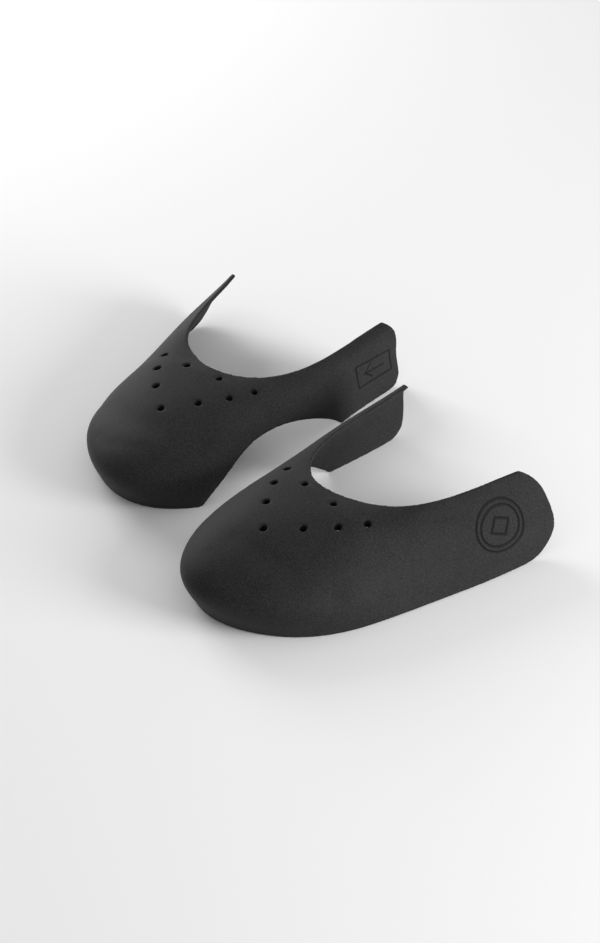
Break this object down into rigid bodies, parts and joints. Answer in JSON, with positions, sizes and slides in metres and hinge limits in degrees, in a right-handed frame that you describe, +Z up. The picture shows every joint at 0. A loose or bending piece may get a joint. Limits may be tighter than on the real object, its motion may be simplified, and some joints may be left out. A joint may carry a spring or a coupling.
{
  "type": "shoe crease guards",
  "caption": "Pair of thin moulded foam toe shields for shoes, each with a domed toe cap, two side wings, an instep opening, an arched side notch and vent holes.",
  "frame": {"origin": "on the floor plane, under the centre of the pair's bounding box, with both guards standing on their bottom rims", "axes": "+Z up; toes point towards -Y, turned in towards each other; the right guard is at +X and the left guard at -X"},
  "size_m": [0.2426, 0.195, 0.0365],
  "materials": {
    "foam": "matte moulded foam"
  },
  "bodies": {
    "left": {"left_guard": "foam"},
    "right": {"right_guard": "foam"}
  },
  "joints": [
    {"name": "right_guard_lift", "type": "slide", "parent": "left", "child": "right", "axis": [0, 0, 1], "range_m": [0, 0.1]}
  ]
}
